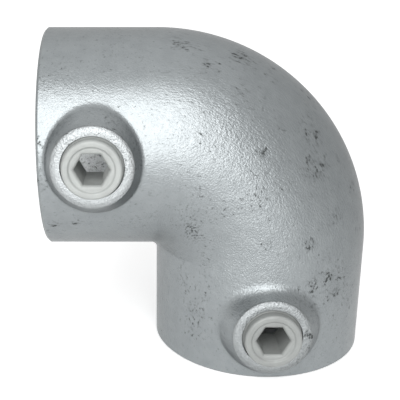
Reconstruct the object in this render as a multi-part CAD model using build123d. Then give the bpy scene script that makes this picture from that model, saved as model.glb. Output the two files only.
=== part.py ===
"""Clamp elbow for round tube: a cast bend with two sockets, and a hollow set screw in each socket.

Millimetres, +Z up. The origin is the centre of the lower socket's mouth, which the elbow stands on.
The lower socket opens along -Z, the side socket along -X, and both screws point out along -Y.
"""
import os
from math import radians, sin, sqrt, tan

from build123d import *

# Tube and casting
tube_diameter = 48.3
tube_play = 1.2  # how much wider the socket is than the tube
casting_wall = 6.75
bend_inside_radius = 0.1  # from the axis of the bend to its outer form, on the inside of the turn
stop_width = 2.75  # shoulder that the tube's end meets, at its front and back
rim_chamfer = 0.7
mouth_chamfer = 0.7

# Screw bosses
boss_from_mouth = 0.1  # foot of the boss, inside the leg's wall, to the socket's mouth
boss_from_stop = 1.875  # foot of the boss to the tube stop
boss_rise = 4.1  # boss face above the outside of the leg
boss_overlap = 0.35  # how far the boss runs on below the lowest point where its side meets the leg
boss_face_radius = 10.9
boss_draft = 26.0  # degrees, between the boss side and its axis
boss_top_round = 0.9
boss_root_round = 1.5

# Set screws, with their thread drawn as a plain cylinder
thread_diameter = 16.66
thread_clearance = 0.05  # between the screw and its hole, on the radius
screw_proud = 2.55  # screw face above the boss face
tip_clearance = 0.1  # from the screw's tip to the socket's wall line
collar_diameter = 15.6  # plain end above the thread
collar_length = 3.2
collar_chamfer = 0.4
tip_chamfer = 1.1
recess_diameter = 12.4  # shallow round recess in the outer face
recess_depth = 0.5
recess_wall_angle = 40.0  # degrees, between the recess wall and the screw axis
key_across_flats = 8.0
key_clearance = 0.06  # how much wider the socket is than the key
key_lead_in = 0.5
key_lead_angle = 50.0  # degrees, between the lead-in facets and the screw axis

# Derived sizes
socket_radius = (tube_diameter + tube_play) / 2
outer_radius = socket_radius + casting_wall
passage_radius = socket_radius - stop_width
bend_radius = outer_radius + bend_inside_radius  # to the centreline

# The boss's side meets the sides of the leg where the cone is as wide as the leg's circle:
# (crown radius + slope * depth)^2 = outer radius^2 - (outer radius - depth)^2
boss_slope = tan(radians(boss_draft))
boss_crown_radius = boss_face_radius + boss_rise * boss_slope  # where it meets the top of the leg
half_term = outer_radius - boss_slope * boss_crown_radius
square_term = 1 + boss_slope**2
boss_side_depth = (half_term - sqrt(half_term**2 - square_term * boss_crown_radius**2)) / square_term
boss_buried = boss_side_depth + boss_overlap
boss_foot_radius = boss_crown_radius + boss_buried * boss_slope

screw_from_mouth = boss_foot_radius + boss_from_mouth  # screw axis to the socket's mouth
socket_depth = screw_from_mouth + boss_foot_radius + boss_from_stop  # mouth to tube stop
centre_height = socket_depth + bend_radius
thread_radius = thread_diameter / 2
screw_hole_radius = thread_radius + thread_clearance
key_flat_radius = (key_across_flats + key_clearance) / 2

# Heights along a boss, from the leg's centreline
boss_face_height = outer_radius + boss_rise
screw_face_height = boss_face_height + screw_proud
screw_tip_height = socket_radius + tip_clearance

# Local frames, with +Z out of each socket's mouth or out of each boss
lower_mouth = Plane(origin=(0, 0, 0), x_dir=(1, 0, 0), z_dir=(0, 0, -1))
side_mouth = Plane(origin=(-centre_height, 0, centre_height), x_dir=(0, 1, 0), z_dir=(-1, 0, 0))
lower_boss = Plane(origin=(0, 0, screw_from_mouth), x_dir=(1, 0, 0), z_dir=(0, -1, 0))
side_boss = Plane(
    origin=(screw_from_mouth - centre_height, 0, centre_height), x_dir=(1, 0, 0), z_dir=(0, -1, 0)
)

INWARD = (Align.CENTER, Align.CENTER, Align.MAX)
OUTWARD = (Align.CENTER, Align.CENTER, Align.MIN)


def bend():
    """Outer form of the bend: a quarter turn of a round bar, with its seam on the inside of the turn."""
    section = Pos(0, 0, socket_depth) * Rot(0, 0, 180) * Circle(outer_radius)
    bend_axis = Axis((-bend_radius, 0, socket_depth), (0, -1, 0))
    return revolve(section, axis=bend_axis, revolution_arc=90)


def leg():
    """Outer form of a straight leg behind its mouth, with its rim chamfered."""
    bar = Cylinder(outer_radius, socket_depth, align=INWARD)
    rim = bar.edges().filter_by(GeomType.CIRCLE).sort_by(Axis.Z).last
    return chamfer(rim, rim_chamfer)


def socket_space():
    """Space that a tube slides into, with a flared mouth."""
    bore = Cylinder(socket_radius, socket_depth, align=INWARD)
    flare = Cone(socket_radius, socket_radius + mouth_chamfer, mouth_chamfer, align=INWARD)
    return bore + flare


def boss():
    """Tapered boss from inside the leg's wall out to its face, with a rounded top edge."""
    cone = Cone(boss_foot_radius, boss_face_radius, boss_rise + boss_buried, align=OUTWARD)
    top_edge = cone.edges().filter_by(GeomType.CIRCLE).sort_by(Axis.Z).last
    return Pos(0, 0, outer_radius - boss_buried) * fillet(top_edge, boss_top_round)


def passage():
    """Way through the bend: a tunnel from each socket's floor, joined by a ball at the bend's middle."""
    reach_across = bend_radius * sin(radians(45))
    middle = Vector(reach_across - bend_radius, 0, socket_depth + reach_across)
    space = Pos(middle) * Sphere(passage_radius)
    for floor in (Vector(0, 0, socket_depth), Vector(-bend_radius, 0, centre_height)):
        run = floor - middle
        tunnel = Cylinder(passage_radius, run.length + passage_radius, align=OUTWARD)
        space += Plane(origin=middle, z_dir=run) * tunnel
    beyond_floors = Box(
        centre_height, 2 * outer_radius, centre_height, align=(Align.MIN, Align.CENTER, Align.MIN)
    )
    return space & Pos(-bend_radius, 0, socket_depth) * beyond_floors


def elbow_casting():
    """The casting: outer form with blended bosses, less the sockets, the passage and the screw holes."""
    body = bend() + lower_mouth * leg() + side_mouth * leg()
    for place in (lower_boss, side_boss):
        added = place * boss()
        joined = body + added
        root_edges = new_edges(body, added, combined=joined)
        body = fillet(root_edges, boss_root_round)
    body -= passage()
    for place in (lower_mouth, side_mouth):
        body -= place * socket_space()
    for place in (lower_boss, side_boss):
        body -= place * Cylinder(screw_hole_radius, screw_face_height, align=OUTWARD)
    return body


def screw_blank():
    """Turned form of the screw: chamfered tip, thread cylinder and chamfered collar."""
    collar_radius = collar_diameter / 2
    collar_foot = screw_face_height - collar_length
    thread_end = collar_foot - (thread_radius - collar_radius)
    outline = Polyline(
        (0, screw_tip_height),
        (thread_radius - tip_chamfer, screw_tip_height),
        (thread_radius, screw_tip_height + tip_chamfer),
        (thread_radius, thread_end),
        (collar_radius, collar_foot),
        (collar_radius, screw_face_height - collar_chamfer),
        (collar_radius - collar_chamfer, screw_face_height),
        (0, screw_face_height),
        close=True,
    )
    return revolve(Plane.XZ * make_face(outline), axis=Axis.Z)


def key_socket():
    """Recess in the screw's face, then the hexagon with its lead-in, right through to the tip."""
    recess_radius = recess_diameter / 2
    floor_radius = recess_radius - recess_depth * tan(radians(recess_wall_angle))
    recess = Cone(floor_radius, recess_radius, recess_depth, align=INWARD)
    length = screw_face_height - screw_tip_height
    hexagon = extrude(RegularPolygon(key_flat_radius, 6, major_radius=False), amount=-length)
    lead_depth = key_lead_in / tan(radians(key_lead_angle))
    lead_outline = RegularPolygon(key_flat_radius + key_lead_in, 6, major_radius=False)
    lead_in = extrude(lead_outline, amount=-lead_depth, taper=key_lead_angle)
    return recess + hexagon + Pos(0, 0, -recess_depth) * lead_in


def set_screw():
    """Hollow set screw along its boss: turned blank less the key socket."""
    return screw_blank() - Pos(0, 0, screw_face_height) * key_socket()


parts = {
    "elbow_casting": elbow_casting(),
    "side_set_screw": side_boss * set_screw(),
    "lower_set_screw": lower_boss * set_screw(),
}

os.makedirs("parts", exist_ok=True)
for name, solid in parts.items():
    export_step(solid, f"parts/{name}.step")
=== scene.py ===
from math import acos, cos, pi, radians, sin, sqrt, tan

import bpy
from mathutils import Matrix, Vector


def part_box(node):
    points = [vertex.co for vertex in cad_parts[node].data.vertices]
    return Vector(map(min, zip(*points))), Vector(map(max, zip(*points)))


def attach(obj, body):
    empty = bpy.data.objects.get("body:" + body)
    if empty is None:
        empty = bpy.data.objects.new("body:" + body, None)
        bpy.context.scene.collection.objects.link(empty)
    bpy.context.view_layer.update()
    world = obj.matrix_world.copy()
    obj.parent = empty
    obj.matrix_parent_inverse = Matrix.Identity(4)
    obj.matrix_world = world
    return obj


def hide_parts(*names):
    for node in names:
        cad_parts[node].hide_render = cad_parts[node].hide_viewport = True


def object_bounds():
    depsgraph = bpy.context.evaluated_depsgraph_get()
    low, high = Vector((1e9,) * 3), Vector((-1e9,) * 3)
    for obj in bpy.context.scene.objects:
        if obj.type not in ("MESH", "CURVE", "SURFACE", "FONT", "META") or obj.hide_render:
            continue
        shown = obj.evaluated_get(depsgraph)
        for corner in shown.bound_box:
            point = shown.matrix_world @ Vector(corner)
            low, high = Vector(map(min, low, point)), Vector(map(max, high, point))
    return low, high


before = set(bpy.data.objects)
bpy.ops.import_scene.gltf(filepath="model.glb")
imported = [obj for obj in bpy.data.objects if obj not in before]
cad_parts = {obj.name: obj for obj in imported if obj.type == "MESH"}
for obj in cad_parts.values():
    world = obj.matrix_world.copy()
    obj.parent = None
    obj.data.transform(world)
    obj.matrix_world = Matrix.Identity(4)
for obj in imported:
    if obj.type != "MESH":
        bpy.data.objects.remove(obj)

cad_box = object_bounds()

# Casting sizes, in metres
BEND_RADIUS = 0.0316
SOCKET_DEPTH = 0.03165
OUTER_RADIUS = 0.0315
CENTRE_HEIGHT = 0.06325
SCREW_FROM_MOUTH = 0.014937
BOSS_FACE = 0.0356  # height of a boss's face above its leg's centreline
BOSS_FACE_RADIUS = 0.0109
BOSS_DRAFT = radians(26)
CORNER_ROUND = 0.0035  # rounding of the inside corner between the legs
CORNER_REACH = 0.0048
CORNER_HALF_WIDTH = 0.0150

# Soft shading of a boss's foot and of its face's edge, in metres and radians
FOOT_BLEND = 0.0009
FOOT_BLEND_ABOVE = 0.0016  # added on the upper side of the lower boss
FOOT_RADIUS = 0.019
FOOT_HEIGHT = 0.024
EDGE_RADIUS = 0.0112
EDGE_DEPTH = 0.0006
EDGE_WEAR_START = 0.0090
EDGE_WEAR_WIDTH = 0.00135
EDGE_WEAR_TILT = radians(25)

# Finer mesh of the casting: the longest edge after each round of dividing, in metres
EDGE_LENGTHS = (0.008, 0.004, 0.002, 0.0012, 0.0007, 0.0004)
SHORTEST_ON_LEGS = 0.002
SHORTEST_ON_BOSSES = 0.0007
FINE_BOSS_RADIUS = 0.018
FINE_BOSS_HEIGHT = 0.025
BOSS_LOWEST = 0.0235
ON_FORM = 0.000012  # a point this close to a form lies on it

# Least cosine between two directions that count as near each other
NEAR_ROUND_AXIS = 0.85  # two corners, seen from their form's axis
NEAR_ROUND_FORM = 0.985  # a facet's normal and the pipe's
NEAR_FOOT = 0.8  # a facet's normal and the soft foot's

ALONG_X = Vector((1.0, 0.0, 0.0))
ALONG_Z = Vector((0.0, 0.0, 1.0))
OUTWARD = Vector((0.0, -1.0, 0.0))
LOWER_LEG = (Vector((0.0, 0.0, 0.0)), ALONG_Z)
SIDE_LEG = (Vector((0.0, 0.0, CENTRE_HEIGHT)), ALONG_X)
LOWER_BOSS = (Vector((0.0, 0.0, SCREW_FROM_MOUTH)), OUTWARD)
SIDE_BOSS = (Vector((SCREW_FROM_MOUTH - CENTRE_HEIGHT, 0.0, CENTRE_HEIGHT)), OUTWARD)

# Screw sizes, in millimetres along and across the screw's axis
COLLAR_RADIUS = 7.8
COLLAR_LENGTH = 2.7
COLLAR_CHAMFER = 0.4
TIP_CHAMFER = 1.1
RECESS_RADIUS = 6.2
RECESS_FLOOR_RADIUS = 5.78
RECESS_FLOOR_EDGE = 0.3
RECESS_DEPTH = 0.5
KEY_FLAT_RADIUS = 4.03
KEY_LEAD_IN = 0.5
KEY_LEAD_DEPTH = 0.42
KEY_LEAD_FOOT_EASE = 0.04
KEY_LEAD_TOP_EASE = 0.08
KEY_LEAD_RIM = 0.05
TIP_RADIUS = 6.6
THREAD_RUN_OUT = 1.2
THREAD_PLAIN_SHARE = 0.4  # the part of the run-out that stays plain
THREAD_STEP = 0.09
THREAD_PITCH = 1.337
THREAD_DEPTH = 0.82
EDGE_ROUND = 0.16
SCREW_SEGMENTS = 144
SHARP_EDGE = radians(38)
MM = 1000  # millimetres in a metre

# Colours
ZINC = ((0.240, 0.258, 0.265, 1.0), (0.263, 0.282, 0.289, 1.0))
# Boss faces' zinc, lower boss then side boss: paler than the rest, partly thicker zinc and partly painted
# light, with the lower face darker than the side one as painted shade
BOSS_FACE_ZINC_AND_PAINTED_LIGHT = ((0.285, 0.301, 0.306, 1.0), (0.355, 0.374, 0.380, 1.0))
# Paler zinc inside the side leg's bore: painted light on its far wall
SIDE_BORE_PAINTED_LIGHT = (0.560, 0.580, 0.585, 1.0)
SPECK_COLOUR = (0.068, 0.074, 0.074, 1.0)
COATING = ((0.306, 0.319, 0.311, 1.0), (0.336, 0.352, 0.342, 1.0))
# Dark grey mixed into the lower screw's coating: painted shade
COATING_PAINTED_SHADE = (0.06, 0.06, 0.06, 1.0)
WHITE = (1.0, 1.0, 1.0, 1.0)
FLOOR_COLOUR = (0.90, 0.90, 0.90, 1.0)

# Where each look of the zinc and the coating begins and where it is full, in metres
BORE_EDGE = (0.0272, 0.0255)  # distance from the centreline
# Along X, where the painted light in the side leg's bore begins and where it is full
SIDE_BORE_PAINTED_LIGHT_EDGE = (-0.020, -0.038)  # X
BOSS_FACE_EDGE = (-0.0351, -0.0355)  # Y
# Along Z, where the side boss's face turns lighter than the lower boss's: painted light
BOSS_FACE_PAINTED_LIGHT = (0.030, 0.045)  # Z
# Along Z, where the painted shade on the lower screw begins and where it is full
SCREW_PAINTED_SHADE = (0.050, 0.025)  # Z
PEEL_CENTRE = (0.001, -0.030, 0.048)
PEEL_EDGE = (0.018, 0.052)  # distance from that centre

# Studio and camera, in metres
FLOOR_HALF = 4.0
FLOOR_DROP = 0.00004  # gap between the floor and the elbow's rim
LAMP_BRIGHTNESS = 3.0
LAMP_SIZE = (0.44, 0.65)
LAMP_PLACE = Vector((-0.071, -0.456, 0.241))
LAMP_AIM = Vector((-0.03, 0.0, 0.05))
CAMERA_PLACE = Vector((-0.03353, -0.22946, 0.11802))
CAMERA_TILT = radians(71.37)


def new_material(name):
    material = bpy.data.materials.new(name)
    material.use_nodes = True
    nodes = material.node_tree.nodes
    return material, Nodes(material.node_tree), nodes["Principled BSDF"]


class Nodes:
    """Short calls for the nodes that the materials share."""

    def __init__(self, tree):
        self.tree = tree

    def node(self, kind, **settings):
        made = self.tree.nodes.new(kind)
        for key, value in settings.items():
            setattr(made, key, value)
        return made

    def put(self, socket, value):
        if isinstance(value, bpy.types.NodeSocket):
            self.tree.links.new(value, socket)
        else:
            socket.default_value = value

    def math(self, operation, a, b=0.0):
        made = self.node("ShaderNodeMath", operation=operation)
        self.put(made.inputs[0], a)
        self.put(made.inputs[1], b)
        return made.outputs[0]

    def combine(self, x, y, z):
        made = self.node("ShaderNodeCombineXYZ")
        for socket, value in zip(made.inputs, (x, y, z)):
            self.put(socket, value)
        return made.outputs[0]

    def split(self, vector):
        made = self.node("ShaderNodeSeparateXYZ")
        self.put(made.inputs[0], vector)
        return made.outputs

    def distance(self, vector, point):
        made = self.node("ShaderNodeVectorMath", operation="DISTANCE")
        self.put(made.inputs[0], vector)
        self.put(made.inputs[1], point)
        return made.outputs["Value"]

    def noise(self, vector, scale, detail=2.0, roughness=0.5):
        made = self.node("ShaderNodeTexNoise")
        self.put(made.inputs["Vector"], vector)
        made.inputs["Scale"].default_value = scale
        made.inputs["Detail"].default_value = detail
        made.inputs["Roughness"].default_value = roughness
        return made.outputs["Fac"]

    def ramp(self, value, low, high, to_low=0.0, to_high=1.0):
        """Smooth step of value, from to_low at low to to_high at high."""
        made = self.node("ShaderNodeMapRange", interpolation_type="SMOOTHSTEP")
        for socket, given in zip(made.inputs, (value, low, high, to_low, to_high)):
            self.put(socket, given)
        return made.outputs[0]

    def mix(self, factor, a, b):
        made = self.node("ShaderNodeMix", data_type="RGBA")
        self.put(made.inputs[0], factor)
        self.put(made.inputs[6], a)
        self.put(made.inputs[7], b)
        return made.outputs[2]

    def bump(self, height, distance):
        made = self.node("ShaderNodeBump")
        self.put(made.inputs["Height"], height)
        made.inputs["Distance"].default_value = distance
        return made.outputs[0]


def pipe_coordinates(n):
    """Object position unrolled along the elbow: length along its centreline, then the two ways across it."""
    place = n.node("ShaderNodeTexCoord").outputs["Object"]
    x, y, z = n.split(place)
    across = n.math("ADD", x, BEND_RADIUS)
    above = n.math("SUBTRACT", z, SOCKET_DEPTH)
    turn_x = n.math("MAXIMUM", across, 0.0)
    turn_z = n.math("MAXIMUM", above, 0.0)
    squares = n.math("ADD", n.math("MULTIPLY", turn_x, turn_x), n.math("MULTIPLY", turn_z, turn_z))
    out = n.math("SUBTRACT", n.math("SQRT", squares), BEND_RADIUS)
    arc = n.math("MULTIPLY", n.math("ARCTAN2", turn_z, turn_x), BEND_RADIUS)
    legs = n.math("SUBTRACT", n.math("MINIMUM", above, 0.0), n.math("MINIMUM", across, 0.0))
    return place, n.math("ADD", arc, legs), out, y


# Places with dark specks in the zinc: centre and radius in metres, and how thick the specks lie
SPECK_PATCHES = (
    ((-0.0248, -0.0128, 0.0917), 0.0036, 1.0),
    ((-0.0085, -0.0118, 0.0879), 0.0043, 1.0),
    ((-0.0170, -0.0185, 0.0869), 0.0036, 0.8),
    ((-0.0092, -0.0221, 0.0808), 0.0022, 0.6),
    ((-0.0165, -0.0275, 0.0762), 0.0018, 0.6),
    ((-0.0046, -0.0291, 0.0660), 0.0026, 0.8),
    ((0.0015, -0.0249, 0.0704), 0.0018, 0.8),
    ((0.0104, -0.0204, 0.0680), 0.0040, 1.0),
    ((0.0108, -0.0245, 0.0607), 0.0046, 1.0),
    ((0.0182, -0.0176, 0.0608), 0.0018, 0.8),
    ((0.0237, -0.0157, 0.0520), 0.0027, 0.8),
    ((0.0098, -0.0297, 0.0400), 0.0029, 0.8),
    ((-0.0204, -0.0310, 0.0552), 0.0023, 0.6),
    ((-0.0016, -0.0311, 0.0531), 0.0022, 0.6),
    ((-0.0026, -0.0315, 0.0403), 0.0022, 0.7),
    ((-0.0222, -0.0265, 0.0429), 0.0042, 0.7),
    ((0.0168, -0.0266, 0.0263), 0.0058, 1.2),
    ((0.0132, -0.0286, 0.0275), 0.0042, 1.0),
    ((0.0098, -0.0356, 0.0156), 0.0021, 1.2),
    ((-0.0617, -0.0310, 0.0691), 0.0024, 0.6),
    ((-0.0619, -0.0311, 0.0584), 0.0033, 0.6),
    ((-0.0599, -0.0254, 0.0447), 0.0023, 0.8),
    ((-0.0540, -0.0258, 0.0452), 0.0018, 0.8),
    ((-0.0335, -0.0306, 0.0557), 0.0018, 0.7),
    ((0.0179, -0.0242, 0.0467), 0.0029, 0.7),
    ((0.0116, -0.0306, 0.0195), 0.0043, 0.55),
    ((0.0196, -0.0247, 0.0142), 0.0036, 0.6),
)


def speck_density(n, place):
    """How thick the dark specks lie: thin all over, and thick in the patches."""
    density = n.ramp(n.noise(place, 75.0, 2.0), 0.50, 0.74, 0.0, 0.52)
    ragged = n.ramp(n.noise(place, 240.0, 2.0), 0.36, 0.60, 0.35, 1.1)
    for centre, radius, weight in SPECK_PATCHES:
        patch = n.ramp(n.distance(place, centre), 0.3 * radius, 1.4 * radius, weight, 0.0)
        density = n.math("MAXIMUM", density, n.math("MULTIPLY", patch, ragged))
    return density


def galvanised_iron():
    """Hot-dip zinc on a casting: bright grey with orange peel, soft lumps and dark specks."""
    material, n, shader = new_material("galvanised_iron")
    place, along, out, y = pipe_coordinates(n)
    unrolled = n.combine(n.math("MULTIPLY", along, 0.85), out, y)
    x, _, z = n.split(place)
    squares = n.math("ADD", n.math("MULTIPLY", out, out), n.math("MULTIPLY", y, y))
    bore = n.ramp(n.math("SQRT", squares), *BORE_EDGE)
    # Mask of the painted light inside the side leg's bore
    side_bore_painted_light = n.math("MULTIPLY", bore, n.ramp(x, *SIDE_BORE_PAINTED_LIGHT_EDGE))
    boss_face = n.ramp(y, *BOSS_FACE_EDGE)

    # Specks, each in a paler stain
    density = n.math("MAXIMUM", speck_density(n, place), n.math("MULTIPLY", bore, 0.5))
    grain = n.noise(unrolled, 1150.0, 3.0, 0.62)
    edge = n.math("SUBTRACT", 0.69, n.math("MULTIPLY", density, 0.20))
    speck = n.ramp(grain, edge, n.math("ADD", edge, 0.09))
    stain = n.ramp(grain, n.math("SUBTRACT", edge, 0.10), edge, 0.0, 0.28)

    # Height in millimetres: orange peel, strongest on the front of the bend, then lumps, grit and pits
    relief = n.ramp(n.distance(place, PEEL_CENTRE), *PEEL_EDGE, 1.02, 0.54)
    peel = n.noise(unrolled, 2350.0, 2.0, 0.6)
    ripple = n.noise(unrolled, 1450.0, 1.0)
    lumps = n.noise(place, 150.0, 2.0)
    grit = n.noise(place, 1750.0, 3.0, 0.65)
    gritty = n.math("MAXIMUM", boss_face, bore)
    height = n.math("ADD", n.math("MULTIPLY", peel, 0.145), n.math("MULTIPLY", ripple, 0.075))
    height = n.math("MULTIPLY", height, relief)
    height = n.math("ADD", height, n.math("MULTIPLY", lumps, 0.16))
    height = n.math("ADD", height, n.math("MULTIPLY", n.math("MULTIPLY", grit, gritty), 0.25))
    height = n.math("SUBTRACT", height, n.math("MULTIPLY", speck, 0.05))
    n.put(shader.inputs["Normal"], n.bump(height, 0.001))

    mottle = n.ramp(n.noise(place, 300.0, 3.0, 0.6), 0.30, 0.70)
    zinc = n.mix(mottle, *ZINC)
    # Boss faces paler, partly thicker zinc and partly painted light; the lower boss's face darker than the
    # side boss's as painted shade
    zinc = n.mix(boss_face, zinc, n.mix(n.ramp(z, *BOSS_FACE_PAINTED_LIGHT), *BOSS_FACE_ZINC_AND_PAINTED_LIGHT))
    # Paler far wall in the side leg's bore: painted light
    zinc = n.mix(side_bore_painted_light, zinc, SIDE_BORE_PAINTED_LIGHT)
    zinc = n.mix(n.math("MAXIMUM", stain, speck), zinc, SPECK_COLOUR)
    n.put(shader.inputs["Base Color"], zinc)
    gloss = n.ramp(peel, 0.35, 0.70, 0.29, 0.36)
    n.put(shader.inputs["Roughness"], n.math("ADD", gloss, n.math("MULTIPLY", speck, 0.25)))
    shader.inputs["Specular Tint"].default_value = (0.72, 0.72, 0.72, 1.0)
    n.put(shader.inputs["Metallic"], n.math("SUBTRACT", 0.80, n.math("MULTIPLY", bore, 0.40)))
    return material


def coated_steel():
    """Matte light grey coating on the screws, a little uneven, and greyer on the lower one as painted shade.
    """
    material, n, shader = new_material("coated_steel")
    place = n.node("ShaderNodeTexCoord").outputs["Object"]
    grain = n.noise(place, 900.0, 3.0, 0.6)
    tone = n.noise(place, 210.0, 2.0)
    colour = n.mix(n.ramp(tone, 0.35, 0.65), *COATING)
    # Painted shade: the lower screw's coating is darkened
    lower_screw_painted_shade = n.ramp(n.split(place)["Z"], *SCREW_PAINTED_SHADE, 0.0, 0.24)
    n.put(shader.inputs["Base Color"], n.mix(lower_screw_painted_shade, colour, COATING_PAINTED_SHADE))
    n.put(shader.inputs["Roughness"], n.ramp(grain, 0.3, 0.7, 0.42, 0.58))
    n.put(shader.inputs["Normal"], n.bump(grain, 0.00004))
    shader.inputs["Metallic"].default_value = 0.15
    return material


def hexagon(flat_radius, turn):
    """Distance from the axis to a hexagon, with one corner at turn 0."""
    return flat_radius / cos(turn % (pi / 3) - pi / 6)


def rounded(points, radius):
    """A profile with its inner corners eased."""
    eased = [points[0]]
    for before, corner, after in zip(points, points[1:], points[2:]):
        start = corner + (before - corner).normalized() * radius
        end = corner + (after - corner).normalized() * radius
        eased += [start, start.lerp(corner, 0.6).lerp(corner.lerp(end, 0.4), 0.5), end]
    return eased + [points[-1]]


def screw_rings(face, tip, thread_radius):
    """Rings round the screw's axis, each a list of (radius, height) for every step of the turn."""
    turns = [2 * pi * i / SCREW_SEGMENTS for i in range(SCREW_SEGMENTS)]
    floor = face - RECESS_DEPTH
    lead_foot = floor - KEY_LEAD_DEPTH
    foot = face - COLLAR_LENGTH
    rings = []
    bore = [hexagon(KEY_FLAT_RADIUS, t) for t in turns]
    rings.append([(r, tip) for r in bore])
    rings.append([(r, lead_foot - EDGE_ROUND) for r in bore])
    for size, height in (
        (KEY_FLAT_RADIUS + KEY_LEAD_FOOT_EASE, lead_foot),
        (KEY_FLAT_RADIUS + KEY_LEAD_IN - KEY_LEAD_TOP_EASE, floor - KEY_LEAD_TOP_EASE),
        (KEY_FLAT_RADIUS + KEY_LEAD_IN + KEY_LEAD_RIM, floor),
    ):
        rings.append([(hexagon(size, t), height) for t in turns])
    outline = rounded([
        Vector((RECESS_FLOOR_RADIUS - RECESS_FLOOR_EDGE, floor)),
        Vector((RECESS_FLOOR_RADIUS, floor)),
        Vector((RECESS_RADIUS, face)),
        Vector((COLLAR_RADIUS - COLLAR_CHAMFER, face)),
        Vector((COLLAR_RADIUS, face - COLLAR_CHAMFER)),
        Vector((COLLAR_RADIUS, foot)),
    ], EDGE_ROUND)
    rings += [[(p.x, p.y)] * SCREW_SEGMENTS for p in outline]
    steps = round((foot - tip) / THREAD_STEP)
    for step in range(1, steps + 1):
        height = foot + (tip - foot) * step / steps
        ring = []
        for t in turns:
            groove = 0.5 - 0.5 * cos(2 * pi * height / THREAD_PITCH - t)
            run_out = min(1.0, max(0.0, (foot - height) / THREAD_RUN_OUT - THREAD_PLAIN_SHARE))
            radius = thread_radius - THREAD_DEPTH * groove * run_out
            radius = min(radius, COLLAR_RADIUS + foot - height)
            radius = min(radius, thread_radius - TIP_CHAMFER + height - tip)
            ring.append((radius, height))
        rings.append(ring)
    rings.append([(TIP_RADIUS, tip)] * SCREW_SEGMENTS)
    return turns, rings


def threaded_screw(name, node, body, material):
    """The set screw with its thread and its key socket, in the place of its CAD node."""
    low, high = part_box(node)
    centre = (low + high) / 2
    turns, rings = screw_rings(-MM * low.y, -MM * high.y, MM * (high.x - low.x) / 2)
    points = []
    for ring in rings:
        for t, (radius, height) in zip(turns, ring):
            across, up = radius * cos(t) / MM, radius * sin(t) / MM
            points.append((centre.x + across, -height / MM, centre.z + up))
    faces = []
    for i in range(len(rings)):
        here, there = i * SCREW_SEGMENTS, (i + 1) % len(rings) * SCREW_SEGMENTS
        for j in range(SCREW_SEGMENTS):
            k = (j + 1) % SCREW_SEGMENTS
            faces.append((here + j, there + j, there + k, here + k))
    mesh = bpy.data.meshes.new(name)
    mesh.from_pydata(points, [], faces)
    mesh.shade_smooth()
    mesh.set_sharp_from_angle(angle=SHARP_EDGE)
    mesh.materials.append(material)
    piece = bpy.data.objects.new(name, mesh)
    bpy.context.scene.collection.objects.link(piece)
    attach(piece, body)
    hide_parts(node)


def on_outside(place):
    """The nearest point of the elbow's outer round form, and that form's normal there."""
    across, above = place.x + BEND_RADIUS, place.z - SOCKET_DEPTH
    middle = Vector((max(across, 0.0), 0.0, max(above, 0.0)))
    if middle.length < 1e-9:
        return place, OUTWARD
    middle = middle * (BEND_RADIUS / middle.length)
    middle += Vector((min(across, 0.0) - BEND_RADIUS, 0.0, min(above, 0.0) + SOCKET_DEPTH))
    away = (place - middle).normalized()
    return middle + away * OUTER_RADIUS, away


def about(place, form):
    """Height along a turned form's axis, distance from the axis, and the direction away from it."""
    origin, axis = form
    offset = place - origin
    height = offset.dot(axis)
    away = offset - axis * height
    return height, away.length, away.normalized()


def boss_place(place):
    """The nearer boss, a point's place about it, and the point's distance off the boss's side."""
    boss = min(LOWER_BOSS, SIDE_BOSS, key=lambda form: (place - form[0]).xz.length)
    height, radius, away = about(place, boss)
    side = BOSS_FACE_RADIUS + (BOSS_FACE - height) * tan(BOSS_DRAFT)
    return boss, height, radius, away, (radius - side) * cos(BOSS_DRAFT)


def turned_form(place):
    """The turned form that a point lies on: a boss, the lower leg or the side leg."""
    boss, height, radius, _, off_side = boss_place(place)
    if height > BOSS_LOWEST and (radius < EDGE_RADIUS or abs(off_side) < ON_FORM):
        return boss
    if place.z < SOCKET_DEPTH + ON_FORM:
        return LOWER_LEG
    if place.x < ON_FORM - BEND_RADIUS:
        return SIDE_LEG
    return None


def middle_between(a, b, form_a, form_b):
    """Half way between two points, on the round form that both lie on."""
    if form_a is not None and form_a is form_b:
        height_a, radius_a, away_a = about(a, form_a)
        height_b, radius_b, away_b = about(b, form_b)
        if away_a.dot(away_b) > NEAR_ROUND_AXIS:
            origin, axis = form_a
            away = (away_a + away_b).normalized()
            return origin + axis * ((height_a + height_b) / 2) + away * ((radius_a + radius_b) / 2)
        return (a + b) / 2
    middle = (a + b) / 2
    if max((on_outside(end)[0] - end).length for end in (a, b)) < ON_FORM:
        return on_outside(middle)[0]
    return middle


def shading_normal(place, normal):
    """The true form's normal on the outside, with each boss's foot and its face's edge softened."""
    target, round_normal = on_outside(place)
    off_pipe = (place - target).dot(round_normal)
    boss, height, radius, away, off_side = boss_place(place)
    if BOSS_FACE - height < EDGE_DEPTH and EDGE_WEAR_START < radius < EDGE_RADIUS:
        worn = min(1.0, (radius - EDGE_WEAR_START) / EDGE_WEAR_WIDTH)
        worn = worn * worn * (3 - 2 * worn)
        turn = acos(min(1.0, max(-1.0, normal.dot(OUTWARD))))
        turn += EDGE_WEAR_TILT * worn * max(0.0, 1 - turn / (pi / 2 - BOSS_DRAFT))
        return OUTWARD * cos(turn) + away * sin(turn)
    if off_pipe > -ON_FORM and height > FOOT_HEIGHT and EDGE_RADIUS < radius < FOOT_RADIUS:
        blend = FOOT_BLEND
        if boss is LOWER_BOSS:
            blend += FOOT_BLEND_ABOVE * max(0.0, away.z - 0.3 * away.x)
        share = min(1.0, max(0.0, 0.5 + 0.5 * (off_side - off_pipe) / blend))
        share = share * share * (3 - 2 * share)
        side_normal = away * cos(BOSS_DRAFT) + OUTWARD * sin(BOSS_DRAFT)
        blended = (round_normal * share + side_normal * (1 - share)).normalized()
        return blended if blended.dot(normal) > NEAR_FOOT else normal
    if abs(off_pipe) < ON_FORM and round_normal.dot(normal) > NEAR_ROUND_FORM:
        return round_normal
    return normal


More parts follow.
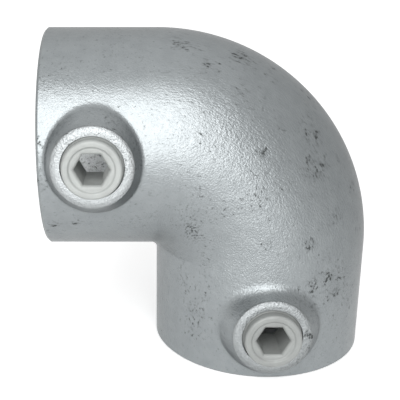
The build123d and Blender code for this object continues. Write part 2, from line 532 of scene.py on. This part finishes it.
def in_corner(place):
    """Whether a point is near the inside corner between the two legs."""
    reach = max(abs(place.x + BEND_RADIUS), abs(place.z - SOCKET_DEPTH))
    return abs(place.y) < CORNER_HALF_WIDTH and reach < CORNER_REACH


def rounded_corner(place):
    """A point near the inside corner set on the corner's rounding, and the rounding's normal there."""
    left, down = -BEND_RADIUS - place.x, SOCKET_DEPTH - place.z
    gap = BEND_RADIUS - sqrt(OUTER_RADIUS**2 - place.y**2)
    centre = CORNER_ROUND - gap
    spot = Vector((left - centre, down - centre))
    if centre <= 0 or max(spot) >= 0 or (on_outside(place)[0] - place).length > ON_FORM:
        return place, None
    spot.normalize()
    tilt = place.y / OUTER_RADIUS
    level = sqrt(1 - tilt * tilt)
    across, below = centre + spot.x * CORNER_ROUND, centre + spot.y * CORNER_ROUND
    moved = Vector((-BEND_RADIUS - across, place.y, SOCKET_DEPTH - below))
    return moved, Vector((spot.x * level, tilt, spot.y * level))


def too_long(a, b, longest):
    """Whether an edge is still to be divided; the shortest lengths are for the bosses and the corner."""
    middle = (a + b) / 2
    if longest < SHORTEST_ON_LEGS and not in_corner(middle):
        _, height, radius, _, _ = boss_place(middle)
        if longest < SHORTEST_ON_BOSSES or height < FINE_BOSS_HEIGHT or radius > FINE_BOSS_RADIUS:
            return False
    return (a - b).length > longest


def divided(corners, normals, cuts, middle_of):
    """One triangle as the smaller ones that its cut edges leave, each with its corners' normals."""
    if not any(cuts):
        return [(corners, normals)]
    while not (cuts[0] and (not cuts[2] or cuts[1])):
        corners, normals, cuts = corners[1:] + corners[:1], normals[1:] + normals[:1], cuts[1:] + cuts[:1]
    ring = []
    for k in range(3):
        ring.append((corners[k], normals[k]))
        if cuts[k]:
            blend = (normals[k] + normals[(k + 1) % 3]).normalized()
            ring.append((middle_of(corners[k], corners[(k + 1) % 3]), blend))
    if sum(cuts) == 3:
        faces = ((0, 1, 5), (1, 2, 3), (3, 4, 5), (1, 3, 5))
    elif sum(cuts) == 2:
        faces = ((1, 2, 3), (1, 3, 4), (1, 4, 0))
    else:
        faces = ((0, 1, 3), (1, 2, 3))
    return [(tuple(ring[k][0] for k in face), [ring[k][1] for k in face]) for face in faces]


def smooth_casting(name, node, body, material):
    """The casting with its long facets divided, and the new points set on the true round forms."""
    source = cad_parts[node].data
    source.calc_loop_triangles()
    points = [v.co.copy() for v in source.vertices]
    forms = [turned_form(place) for place in points]
    triangles = []
    for triangle in source.loop_triangles:
        normals = [source.corner_normals[loop].vector.copy() for loop in triangle.loops]
        triangles.append((tuple(triangle.vertices), normals))
    middles = {}

    def middle_of(i, j):
        key = (min(i, j), max(i, j))
        if key not in middles:
            middle = middle_between(points[key[0]], points[key[1]], forms[key[0]], forms[key[1]])
            middle = Vector(min(max(m, low), high) for m, low, high in zip(middle, *cad_box))
            middles[key] = len(points)
            points.append(middle)
            forms.append(turned_form(middle))
        return middles[key]

    for longest in EDGE_LENGTHS:
        smaller = []
        for corners, normals in triangles:
            cuts = [too_long(points[corners[k]], points[corners[(k + 1) % 3]], longest) for k in range(3)]
            smaller += divided(corners, normals, cuts, middle_of)
        triangles = smaller

    shading = []
    for corners, normals in triangles:
        shading += [shading_normal(points[corner], normal) for corner, normal in zip(corners, normals)]
    rounding = {}
    for i, place in enumerate(points):
        if in_corner(place):
            points[i], normal = rounded_corner(place)
            if normal is not None:
                rounding[i] = normal
    order = [corner for corners, normals in triangles for corner in corners]
    shading = [rounding.get(corner, normal) for corner, normal in zip(order, shading)]
    mesh = bpy.data.meshes.new(name)
    mesh.from_pydata(points, [], [corners for corners, normals in triangles])
    mesh.shade_smooth()
    mesh.normals_split_custom_set(shading)
    mesh.materials.append(material)
    piece = bpy.data.objects.new(name, mesh)
    bpy.context.scene.collection.objects.link(piece)
    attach(piece, body)
    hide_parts(node)


def background_share(n, low, high):
    """high where the camera, a reflection or clear glass sees the surface, and low for the light it gives."""
    path = n.node("ShaderNodeLightPath")
    seen = n.math("MAXIMUM", path.outputs["Is Camera Ray"], path.outputs["Is Glossy Ray"])
    seen = n.math("MAXIMUM", seen, path.outputs["Is Transmission Ray"])
    return n.math("MAXIMUM", n.math("MULTIPLY", seen, high), low)


def white_floor():
    """Matte floor that shows white, and keeps the elbow's shadow; the glow that the metal mirrors is a
    painted reflection, dimmer on the right and brighter in front.
    """
    mesh = bpy.data.meshes.new("floor")
    half = FLOOR_HALF
    corners = [(-half, -half, 0), (half, -half, 0), (half, half, 0), (-half, half, 0)]
    mesh.from_pydata(corners, [], [(0, 1, 2, 3)])
    floor = bpy.data.objects.new("floor", mesh)
    floor.location.z = -FLOOR_DROP
    bpy.context.scene.collection.objects.link(floor)
    material, n, shader = new_material("floor")
    shader.inputs["Base Color"].default_value = FLOOR_COLOUR
    shader.inputs["Roughness"].default_value = 0.9
    shader.inputs["Specular IOR Level"].default_value = 0.0
    shader.inputs["Emission Color"].default_value = WHITE
    place = n.node("ShaderNodeTexCoord").outputs["Object"]
    reach = n.distance(place, (0.0, 0.0, 0.0))
    beyond_mouth = n.ramp(reach, 0.0295, 0.0312)
    glow = n.math("MULTIPLY", beyond_mouth, n.ramp(reach, 0.10, 0.50, 0.44, 0.63))
    x, y, _ = n.split(place)
    # Painted reflection: the floor's glow as the metal mirrors it, dimmer on the right and brighter in front
    painted_reflection_dim_right = n.ramp(x, 0.02, 0.13, 1.0, 0.40)
    painted_reflection_bright_front = n.ramp(y, -0.16, -0.42, 1.10, 1.95)
    painted_reflection = n.math("MULTIPLY", painted_reflection_dim_right, painted_reflection_bright_front)
    camera_ray = n.node("ShaderNodeLightPath").outputs["Is Camera Ray"]
    glow = n.math("MULTIPLY", glow, n.ramp(camera_ray, 0.0, 1.0, painted_reflection, 1.0))
    n.put(shader.inputs["Emission Strength"], n.math("MULTIPLY", glow, background_share(n, 0.0, 1.0)))
    mesh.materials.append(material)


def surroundings():
    """White world, a little darker on the right and brighter above where the elbow mirrors it."""
    world = bpy.data.worlds.new("studio")
    world.use_nodes = True
    bpy.context.scene.world = world
    n = Nodes(world.node_tree)
    background = world.node_tree.nodes["Background"]
    background.inputs["Color"].default_value = WHITE
    x, _, z = n.split(n.node("ShaderNodeTexCoord").outputs["Generated"])
    level = n.math("MULTIPLY", n.ramp(x, -0.3, 0.9, 1.0, 0.79), n.ramp(z, 0.5, 1.0, 1.0, 1.25))
    level = n.math("MAXIMUM", level, n.node("ShaderNodeLightPath").outputs["Is Camera Ray"])
    given = n.ramp(z, 0.2, 1.0, 0.24, 0.72)
    n.put(background.inputs["Strength"], n.math("MULTIPLY", background_share(n, given, 1.0), level))


def key_lamp():
    """One broad lamp, on the upper front left."""
    lamp = bpy.data.lights.new("key", "AREA")
    lamp.shape = "RECTANGLE"
    lamp.size, lamp.size_y = LAMP_SIZE
    lamp.energy = 4 * lamp.size * lamp.size_y * LAMP_BRIGHTNESS
    key = bpy.data.objects.new("key", lamp)
    key.location = LAMP_PLACE
    key.rotation_euler = (LAMP_PLACE - LAMP_AIM).to_track_quat("Z", "Y").to_euler()
    bpy.context.scene.collection.objects.link(key)


def photo_camera():
    """The camera as the photo has it."""
    data = bpy.data.cameras.new("camera")
    data.sensor_width = 36.0
    data.lens = 71.16
    data.shift_x = 0.1245
    data.shift_y = 0.0191
    camera = bpy.data.objects.new("camera", data)
    camera.location = CAMERA_PLACE
    camera.rotation_euler = (CAMERA_TILT, 0.0, 0.0)
    bpy.context.scene.collection.objects.link(camera)
    bpy.context.scene.camera = camera


iron = galvanised_iron()
coating = coated_steel()
smooth_casting("galvanised_casting", "elbow_casting", "casting", iron)
threaded_screw("side_threaded_screw", "side_set_screw", "side_screw", coating)
threaded_screw("lower_threaded_screw", "lower_set_screw", "lower_screw", coating)
white_floor()
surroundings()
key_lamp()
photo_camera()
bpy.context.scene.view_settings.view_transform = "Standard"
